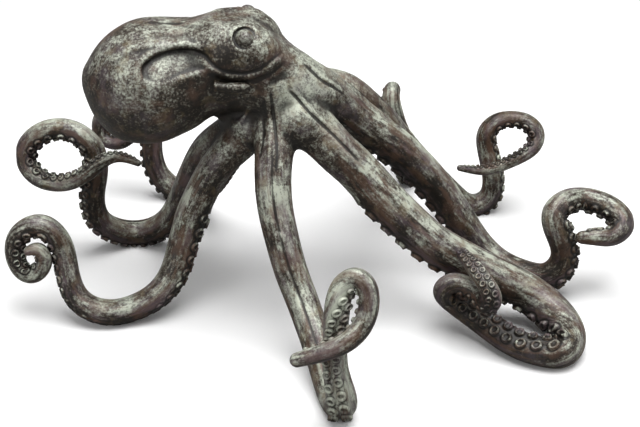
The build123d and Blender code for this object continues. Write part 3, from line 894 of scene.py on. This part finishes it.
# %% [markdown]
# An arm's section is round above and flattened on the sucker side, and two rows
# of suckers run along the flat. They could be small objects set in rows, but on
# a casting they grow out of the arm, so each is a low mound with a rim and a
# hollow, made by moving the arm's own surface out. The points stand closer
# together on the sucker side.

# %% Section and suckers of an arm
around_count = 96
ring_share = 0.058
flat_share, corner_softness = 0.86, 0.05
sucker_share = 0.37
sucker_height_share = 0.24
row_share = 0.43
# Where the suckers are worn low, in the terms of a dab.
worn_suckers = {"front_left": ((122, 305, 56, -0.9),)}


def around_angles():
    """Angles round an arm from the sucker side, closer together there: a cubic of an even run."""
    even = (np.arange(around_count) + 0.5) / around_count * 2 - 1
    return math.pi * (0.5 * even + 0.5 * even**3)


def ring_marks(line, start):
    """Places along an arm for its rings, each a share of the radius past the last."""
    fine = np.linspace(start, line["run"][-1], 4000)
    dense = np.interp(fine, line["run"], 1 / line["radii"])
    total = np.append(0, np.cumsum((dense[1:] + dense[:-1]) / 2 * np.diff(fine)))
    return np.interp(np.linspace(0, total[-1], int(total[-1] / ring_share)), total, fine)


def section_share(angles):
    """Radius share round an arm: 1 above, cut flat on the sucker side, joined by a soft minimum."""
    flat = flat_share / np.maximum(np.cos(angles), 0.05)
    return joined([1.0, flat], corner_softness)


def sucker_profile(share):
    """Height of a sucker over its middle to its foot: a flat floor, a rim at 0.70, then a slope."""
    rim = np.exp(-(((share - 0.70) / 0.21) ** 2))
    floor = 0.34 * (1 - rounded_step(share, 0.3, 0.75))
    return (rim + floor * (1 - rim)) * (1 - rounded_step(share, 0.9, 1.35))


def sucker_heights(line, marks, angles, radii):
    """Height field of both rows of suckers over an arm's rings and angles. They stand a radius
    apart along the sucker side itself, which is longer outside a bend."""
    face = along_line(line, marks, "places") + along_line(line, marks, "sides") * radii[:, None]
    length = np.append(0, np.cumsum(np.linalg.norm(np.diff(face, axis=0), axis=1)))
    heights = np.zeros((len(marks), len(angles)))
    offsets = angles[None, :] * radii[:, None]
    for row, lead in ((-1, 0.0), (1, 0.45)):
        first = np.interp(line["joint"] + 12 * mm, marks, length)
        at = first + lead * np.interp(first, length, radii)
        while at < length[-1] - 2.5 * mm:
            radius = np.interp(at, length, radii)
            size = sucker_share * radius
            rows = np.flatnonzero(np.abs(length - at) < 1.5 * size)
            aside = offsets[rows] - row * row_share * radii[rows][:, None]
            away = np.hypot((length[rows] - at)[:, None], aside)
            out = sucker_height_share * radius * sucker_profile(away / size)
            heights[rows] = np.maximum(heights[rows], out)
            at += radius
    return heights


print("points round an arm", around_count, "suckers", sucker_share, "of its radius")

# %% Arms
# Wash on the sucker side of an arm, and how much of its relief takes the stain. Less wash
# on the sucker side, which faces down on most arms, is painted shade under them; on the front
# centre arm, whose suckers the floor lights, more wash there is painted light.
underside_painted_shade = (-0.15, 1.0)
undersides_with_painted_light = {"front_centre": (0.14, 0.45)}


def closed_tube(rings, first, last):
    """Points and outward faces of a tube: quads between rings of points, and at each end
    triangles to one point."""
    count, wide = rings.shape[:2]
    ring, corner = np.meshgrid(np.arange(count - 1), np.arange(wide), indexing="ij")
    a, b = ring * wide + corner, ring * wide + (corner + 1) % wide
    quads = np.stack([a, b, b + wide, a + wide], -1).reshape(-1, 4)
    pole = np.full(wide, count * wide)
    start = np.stack([b[0], a[0], pole, pole], 1)
    end = np.stack([a[-1] + wide, b[-1] + wide, pole + 1, pole + 1], 1)
    return np.vstack([rings.reshape(-1, 3), first, last]), np.concatenate([quads, start, end])


def rooted_reach(places, spokes, reach, beyond):
    """Reach of the rings near the joint: the radius of the body's field there, searched outwards
    by halving, eased into the arm's own, and tucked in a little where the body lies over it."""
    low, high = 0.5 * reach, 1.45 * reach
    for _ in range(14):
        middle = (low + high) / 2
        value = sampled(whole_field, places[:, None] + spokes * middle[..., None])
        low, high = np.where(value < 0, middle, low), np.where(value < 0, high, middle)
    ease = rounded_step(beyond, 4 * mm, 46 * mm)[:, None]
    tuck = 0.22 * mm * (1 - rounded_step(beyond, -6 * mm, 0))[:, None] - 0.06 * mm
    return (1 - ease) * (low - tuck) + ease * reach


def arm_surface(name):
    """Points in rings, and each ring's distance along the arm and radius: places of the course,
    plus spokes round it times the radius share, plus the heights of suckers and crease."""
    line = lines[name]
    marks, angles = ring_marks(line, line["joint"] - 8 * mm), around_angles()
    places, along, sides = (along_line(line, marks, key) for key in ("places", "along", "sides"))
    sides = unit(sides - along * np.sum(sides * along, axis=1, keepdims=True))
    across = np.cross(along, sides)
    radii = along_line(line, marks, "radii")
    spokes = sides[:, None] * np.cos(angles)[:, None] + across[:, None] * np.sin(angles)[:, None]
    reach = radii[:, None] * section_share(angles)[None, :]
    beyond, share = marks - line["joint"], marks / line["run"][-1]
    rooted = beyond < 50 * mm
    reach[rooted] = rooted_reach(places[rooted], spokes[rooted], reach[rooted], beyond[rooted])
    # Suckers start past the joint, lower on the trunk; the crease fades along the arm.
    trunk = 1 - 0.2 * (1 - rounded_step(share, 0.25, 0.42))
    trunk *= np.clip(1 + dabbed(places, worn_suckers.get(name, ())), 0, 1)
    heights = sucker_heights(line, marks, angles, radii)
    heights *= (rounded_step(beyond, 6 * mm, 24 * mm) * trunk)[:, None]
    fade = rounded_step(beyond, 0, 30 * mm) * (1 - 0.7 * rounded_step(share, 0.35, 0.6))
    heights += crease(from_back(angles, radii[:, None]), radii[:, None]) * fade[:, None]
    points = places[:, None] + spokes * reach[..., None]
    # Outward directions of the plain surface, from its slopes along and around.
    slope_around = np.roll(points, -1, axis=1) - np.roll(points, 1, axis=1)
    outward = unit(np.cross(slope_around, np.gradient(points, axis=0)))
    outward *= np.sign(np.sum(outward * spokes, axis=2, keepdims=True))
    points = points + outward * heights[..., None]
    # Strokes of the crown that run on over the arm.
    shows = rounded_step(-(outward @ forward), -0.05, 0.25)
    lasts = rounded_step(beyond, 20 * mm, 40 * mm) * (1 - rounded_step(beyond, 30 * mm, 60 * mm))
    drawing = drawn(*to_picture(points - home), root_strokes) * shows * lasts[:, None]
    points = points + outward * drawing[..., None]
    # Rounded tip: the last ring shrinks over a quarter circle.
    turns = np.radians(np.linspace(12, 84, 7))
    centre, last = places[-1], points[-1] - places[-1]
    way = along[-1] * radii[-1]
    caps = [centre + last * math.cos(t) + way * math.sin(t) for t in turns]
    rings = np.concatenate([points, np.array(caps)])
    ring_run = np.append(marks, marks[-1] + radii[-1] * np.sin(turns))
    ring_radii = np.append(radii, np.full(len(turns), radii[-1]))
    return *closed_tube(rings, places[0], centre + way), ring_run, ring_radii


def arm_piece(name):
    """Arm: its surface, and on each point its place on the unrolled arm, its dabs with the painted
    shade and light of its sucker side, and how far its relief shows, which fades in past the joint."""
    points, faces, run, radii = arm_surface(name)
    number, angles = list(arm_shares).index(name), around_angles()
    grain = arm_grain(number, *np.broadcast_arrays(run[:, None], angles, radii[:, None]))
    ends = np.column_stack([run[[0, -1]] + arm_gap * number, np.zeros((2, 2))])
    gain = np.append(np.repeat(arm_radius / radii, len(angles)), [1, 1])
    gain = gain * 0.7 * (around_count / 56) ** 2
    # The sucker side has its own wash, painted shade on most arms and painted light on the front
    # centre arm, and takes its own share of the stain.
    painted_light_and_shade_below, stain_below = undersides_with_painted_light.get(name, underside_painted_shade)
    from_joint = (run - lines[name]["joint"])[:, None]
    below = rounded_step(np.cos(angles), 0.05, 0.6) * rounded_step(from_joint, 0, 30 * mm)
    shown = rounded_step(from_joint, 0, 9 * mm) * (1 - (1 - stain_below) * below)
    shown = np.append(shown.ravel(), [0, 1])
    dab = dabbed(points, arm_dabs_with_painted_shade[name] + body_dabs_with_painted_shade) + np.append(painted_light_and_shade_below * below.ravel(), [0, 0])
    grain = np.vstack([grain.reshape(-1, 3), ends])
    return make_piece(
        f"{name}_arm", points, faces, f"arm_{name}", gain, shown, dab, grain, 1.0
    )


for name in arm_shares:
    pieces[name] = arm_piece(name)

# %% [markdown]
# The eyes are smooth domes let into the head, and the siphon is a short tube
# with a thick lip. A Screw modifier turns a profile round an axis too; here the
# rings are worked out, and closed by the same faces as an arm.

# %% Eyes
def turned(profile, start, way, around=48):
    """Points and faces of a profile of (distance along, radius) pairs turned round an axis,
    closed at both ends by its poles."""
    way = unit(way)
    aside = unit(np.cross(way, [0.31, 0.17, 0.93]))
    other = np.cross(way, aside)
    angles = np.arange(around) / around * 2 * math.pi
    circle = np.cos(angles)[:, None] * aside + np.sin(angles)[:, None] * other
    (first, *inner, last) = np.asarray(profile, float)
    inner = np.array(inner)
    rings = start + inner[:, 0, None, None] * way + inner[:, 1, None, None] * circle
    return closed_tube(rings, start + first[0] * way, start + last[0] * way)


eye_stem = 5.0 * mm
eye_profile = [(-eye_stem, 0), (-eye_stem, eye_radius * 0.6), (-eye_stem, eye_radius)]
eye_profile.append((-eye_stem / 2, eye_radius))
for t in np.radians(np.linspace(0, 90, 16)):
    eye_profile.append((eye_radius * math.sin(t), eye_radius * math.cos(t)))
for where, side in (("near", -1), ("far", 1)):
    points, faces = turned(eye_profile, *eye_axis(side))
    pieces[f"eye_{where}"] = make_piece(f"{where}_eye", points, faces, f"eye_{where}", 0.2)

# %% Siphon
mouth, root = siphon_ends + home
tube_length = float(np.linalg.norm(root - mouth))
tube, bore = 4.1 * mm, 2.1 * mm
siphon_profile = [
    (7 * mm, 0), (7 * mm, bore * 0.9), (2 * mm, bore), (0.6 * mm, bore * 1.1), (0.0, bore * 1.35),
    (0.0, tube * 0.86), (0.7 * mm, tube), (1.8 * mm, tube), (3.6 * mm, tube * 0.86),
]
for share, width in ((0.35, 0.84), (0.6, 0.92), (0.75, 0.85), (0.88, 0.6), (0.97, 0.25), (1, 0)):
    siphon_profile.append((tube_length * share, tube * width))
points, faces = turned(siphon_profile, mouth, root - mouth)
# The tube sags in its middle and its end turns into the cheek.
share = np.clip((points - mouth) @ unit(root - mouth) / tube_length, 0, 1)
points += np.outer(np.sin(share * math.pi) * 1.2 * mm, (0, 0.3, -1))
points += np.outer(share**2 * 2.4 * mm, (0, 1, 0.2))
pieces["siphon"] = make_piece("siphon_tube", points, faces, "siphon", 0.3, 1.0, -0.05)

# %% [markdown]
# The finish of the real figure is a patina: the raw casting is stained nearly
# black, then thin washes of grey-green, mauve and rust brown are dabbed on and
# rubbed back, so they stay mottled, lighter on what stands proud, and dark in
# the furrows. A painted texture could show it, but it would need unwrapped
# surfaces. Here it is built the way the finisher works, as washes over each
# other, each with a mask of noise at the size of the real dabs and streaks.
# The wash also carries painted light and shade: it is thicker on what faces up,
# thinner on what faces down, and some dabs darken places that lie in shade.

# %% Nodes
def linear(code):
    """Linear colour of an sRGB hex code: each part over 12.92 when small, else a power of 2.4."""
    parts = [int(code[i : i + 2], 16) / 255 for i in (1, 3, 5)]
    return (*(p / 12.92 if p <= 0.04045 else ((p + 0.055) / 1.055) ** 2.4 for p in parts), 1.0)


def add(owner, kind, settings=(), **sockets):
    """Adds a node of a kind, with settings, and fills its sockets, by name or by _number: a node
    links its first output, a (node, output) pair that output, a hex code is a colour, and
    anything else is a plain value."""
    node = owner.node_tree.nodes.new("ShaderNode" + kind)
    for key, value in dict(settings).items():
        setattr(node, key, value)
    for key, value in sockets.items():
        socket = node.inputs[int(key[1:])] if key[0] == "_" else node.inputs[key.replace("_", " ")]
        if isinstance(value, str):
            value = linear(value)
        if isinstance(value, bpy.types.Node):
            value = (value, 0)
        if isinstance(value, tuple) and isinstance(value[0], bpy.types.Node):
            owner.node_tree.links.new(value[0].outputs[value[1]], socket)
        else:
            socket.default_value = value
    return node


def bare(name):
    """New material with an empty node tree."""
    material = bpy.data.materials.new(name)
    material.use_nodes = True
    material.node_tree.nodes.clear()
    return material


smooth = {"interpolation_type": "SMOOTHSTEP"}
times, plus, times_plus = ({"operation": name} for name in ("MULTIPLY", "ADD", "MULTIPLY_ADD"))
over_colour = {"data_type": "RGBA"}
print("darkest stain", [round(v, 4) for v in linear("#13110e")])

# %% Patterns of the patina
# Noise over the whole figure: size of its blobs, detail, roughness.
patina_noise = {
    "clouds": (34 * mm, 5.0, 0.62), "dabs": (8 * mm, 6.0, 0.72), "specks": (2 * mm, 3.0, 0.8),
    "rust": (23 * mm, 5.0, 0.65), "mauve": (29 * mm, 5.0, 0.65), "ochre": (15 * mm, 5.0, 0.65),
    "cast_skin": (1.3 * mm, 4.0, 0.7),
}
# Noise on the unrolled arms: blobs in a metre along and across, detail, roughness. The streaks
# are 13 to 48 mm long and 3 to 10 mm wide.
arm_noise = {
    "streaks": (75.0, 320.0, 5.0, 0.7), "long_streaks": (24.0, 95.0, 4.0, 0.65),
    "rust_streaks": (30.0, 140.0, 4.0, 0.7), "mauve_streaks": (21.0, 100.0, 4.0, 0.7),
}
# How strongly each breaks up the wash, on the body and on the arms.
wash_weights = (
    ("clouds", 1.0, 1.0), ("dabs", 1.3, 0.91), ("specks", 1.2, 0.84),
    ("streaks", 0.0, 1.7), ("long_streaks", 0.0, 1.7),
)
print("patterns", len(patina_noise) + len(arm_noise))


# %% Patina
def build_patina(name):
    """Patina on a casting, painted on and rubbed back to a satin skin: nearly black stain, then
    grey-green wash, rust, mauve and ochre, dark hollows, and on the arms streaks along their
    run. The wash lies thicker on what faces up, which is painted light and shade. To the eye
    that is a mottled surface with broad, soft highlights."""
    material = bare(name)
    place = (add(material, "TexCoord"), "Object")
    relief, dab, armness = (
        (add(material, "Attribute", {"attribute_name": key}), "Fac")
        for key in ("relief", "dab", "streaked")
    )
    unrolled = (add(material, "Attribute", {"attribute_name": "grain"}), "Vector")
    noise = {}
    for key, (size, detail, rough) in patina_noise.items():
        node = add(material, "TexNoise", Vector=place, Scale=1 / size, Detail=detail, Roughness=rough)
        noise[key] = (node, "Fac")
    for key, (along, across, detail, rough) in arm_noise.items():
        drawn_out = add(material, "Mapping", Vector=unrolled, Scale=(along, across, across))
        node = add(material, "TexNoise", Vector=drawn_out, Scale=1.0, Detail=detail, Roughness=rough)
        noise[key] = (node, "Fac")
    # How much wash lies on a place: more on what faces up, which paints light on the tops and shade
    # underneath, more on what stands proud, and broken up by noise.
    facing_for_painted_light = add(material, "SeparateXYZ", Vector=(add(material, "NewGeometry"), "Normal"))
    amount = add(
        material, "MapRange", smooth, Value=(facing_for_painted_light, "Z"), From_Min=-0.45, From_Max=0.75,
        To_Min=0.27, To_Max=0.56,
    )
    proud = add(
        material, "MapRange", Value=relief, From_Min=-0.6, From_Max=0.8, To_Min=-0.13, To_Max=0.09
    )
    for more in (proud, dab):
        amount = add(material, "Math", plus, _0=amount, _1=more)
    for key, on_body, on_arms in wash_weights:
        weight = add(material, "MapRange", Value=armness, To_Min=on_body, To_Max=on_arms)
        even = add(material, "Math", plus, _0=noise[key], _1=-0.5)
        amount = add(material, "Math", times_plus, _0=even, _1=weight, _2=amount)
    # The furrow along the back of each arm: near the middle line, which wanders a little.
    section = add(material, "SeparateXYZ", Vector=unrolled)
    wander = add(material, "Math", times_plus, _0=noise["dabs"], _1=3 * mm, _2=-1.5 * mm)
    off_line = add(material, "Math", plus, _0=(section, "Z"), _1=wander)
    off_line = add(material, "Math", {"operation": "ABSOLUTE"}, _0=off_line)
    on_back = add(
        material, "MapRange", smooth, Value=(section, "Y"), From_Min=-1 * mm, From_Max=-4 * mm
    )
    # Each layer: what it follows, from where to where, its most, its colour, and what limits it.
    colour = "#1d1812"
    for value, low, high, most, code, *limits in (
        (amount, 0.16, 0.42, 1.0, "#4d443a"),
        (amount, 0.33, 0.60, 1.0, "#82847a"),
        (amount, 0.55, 0.84, 1.0, "#b9beae"),
        (noise["rust"], 0.50, 0.64, 0.50, "#5e4638"),
        (noise["mauve"], 0.51, 0.67, 0.42, "#62575e"),
        (noise["ochre"], 0.54, 0.68, 0.35, "#7b6c4e"),
        (noise["rust_streaks"], 0.50, 0.62, 0.55, "#604838", armness),
        (noise["mauve_streaks"], 0.50, 0.62, 0.38, "#6e5e66", armness),
        (relief, -0.20, -0.75, 0.85, "#13110e"),
        (off_line, 1.2 * mm, 0.3 * mm, 0.75, "#1b1712", armness, on_back),
    ):
        share = add(material, "MapRange", smooth, Value=value, From_Min=low, From_Max=high, To_Max=most)
        for limit in limits:
            share = add(material, "Math", times, _0=share, _1=limit)
        colour = (add(material, "Mix", over_colour, _0=share, _6=colour, _7=code), 2)
    rough = add(
        material, "MapRange", Value=noise["dabs"], From_Min=0.3, From_Max=0.7, To_Min=0.36, To_Max=0.56
    )
    bump = add(material, "Bump", Strength=0.35, Distance=0.5 * mm, Height=noise["cast_skin"])
    shader = add(
        material, "BsdfPrincipled", Base_Color=colour, Roughness=rough, Metallic=0.15, Normal=bump
    )
    add(material, "OutputMaterial", Surface=shader)
    print(name, "nodes", len(material.node_tree.nodes))
    return material


# %% Finishes
casting_patina = build_patina("bronze_patina")
eye_patina = build_patina("bronze_patina_eyes")
# Drawn steel of the dowels: bare metal, its sheen broken by fine drawing marks.
steel = bare("drawn_steel_dowel")
marks_of_drawing = add(
    steel, "TexNoise", Vector=(add(steel, "TexCoord"), "Object"), Scale=1 / (0.4 * mm), Detail=2.0,
    Roughness=0.5,
)
steel_rough = add(steel, "MapRange", Value=(marks_of_drawing, "Fac"), To_Min=0.25, To_Max=0.4)
steel_shader = add(
    steel, "BsdfPrincipled", Base_Color="#8f9194", Metallic=1.0, Roughness=steel_rough
)
add(steel, "OutputMaterial", Surface=steel_shader)

for key, piece in pieces.items():
    piece.data.materials.append(eye_patina if key.startswith("eye") else casting_patina)
for name in arm_shares:
    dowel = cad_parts[f"dowel_{name}"]
    dowel.data.materials.clear()
    dowel.data.materials.append(steel)
print("materials", len(bpy.data.materials))

# %% [markdown]
# The photograph shows the figure cut out on white, under soft light from above.
# Sharp lamps would put hard glints on the satin metal, so the light comes from
# panels: a wide one overhead gives the long soft highlights on the tops of the
# arms, one from the left front opens the shadows, and a faint one from the
# right draws the edges. The floor shows white to the camera while it keeps the
# figure's shadow.

# %% Floor
floor_half = 1.5
corners = [(floor_half * x, floor_half * y, 0) for x, y in ((-1, -1), (1, -1), (1, 1), (-1, 1))]
floor_mesh = bpy.data.meshes.new("floor")
floor_mesh.from_pydata(corners, [], [(0, 1, 2, 3)])
floor = bpy.data.objects.new("floor", floor_mesh)
bpy.context.scene.collection.objects.link(floor)
floor.location.z = -0.2 * mm
# Matt paper, grey to the light and white to the camera. Away from the figure it runs out into
# plain white, so that no horizon shows.
paper = bare("matt_white_paper")
seen = (add(paper, "LightPath"), "Is Camera Ray")
paper_colour = (add(paper, "Mix", over_colour, _0=seen, _6="#8c8c8a", _7="#ffffff"), 2)
paper_shader = add(paper, "BsdfPrincipled", Base_Color=paper_colour, Roughness=0.9)
away = add(paper, "VectorMath", {"operation": "LENGTH"}, _0=(add(paper, "TexCoord"), "Object"))
far_off = add(paper, "MapRange", smooth, Value=(away, "Value"), From_Min=0.42, From_Max=0.85)
far_off = add(paper, "Math", times, _0=far_off, _1=seen)
glow = add(paper, "Emission", Color="#ffffff", Strength=1.0)
paper_end = add(paper, "MixShader", _0=far_off, _1=paper_shader, _2=glow)
add(paper, "OutputMaterial", Surface=paper_end)
floor_mesh.materials.append(paper)
print("floor", 2 * floor_half, "m wide")


# %% Lights
def panel(name, place, target, size, power):
    """Square area light aimed at a point."""
    light = bpy.data.lights.new(name, "AREA")
    light.shape = "SQUARE"
    light.size = size
    light.energy = power
    lamp = bpy.data.objects.new(name, light)
    lamp.location = place
    lamp.rotation_euler = (Vector(target) - Vector(place)).to_track_quat("-Z", "Y").to_euler()
    bpy.context.scene.collection.objects.link(lamp)


panel("overhead_panel", (0.1, -0.1, 1.5), (0, 0, 0.08), 1.3, 31)
panel("left_front_panel", (-1.1, -1.2, 0.9), (0, 0, 0.1), 0.9, 7)
panel("right_panel", (1.4, -0.3, 0.8), (0, 0, 0.1), 0.9, 4)

world = bpy.data.worlds.new("white_room")
bpy.context.scene.world = world
world.use_nodes = True
world.node_tree.nodes.clear()
seen = (add(world, "LightPath"), "Is Camera Ray")
strength = add(world, "MapRange", Value=seen, To_Min=0.25, To_Max=1.0)
room = add(world, "Background", Color="#ffffff", Strength=strength)
add(world, "OutputWorld", Surface=room)
print("lights", len(bpy.data.lights))

# %% Camera
camera_data = bpy.data.cameras.new("camera")
camera_data.sensor_width = 36
camera_data.lens = 36 * sight_distance / picture_span
camera_data.clip_end = 20
camera = bpy.data.objects.new("camera", camera_data)
camera.location = Vector(eye_point + home)
camera.rotation_euler = Vector(forward).to_track_quat("-Z", "Y").to_euler()
bpy.context.scene.collection.objects.link(camera)
bpy.context.scene.camera = camera
bpy.context.scene.view_settings.view_transform = "Standard"
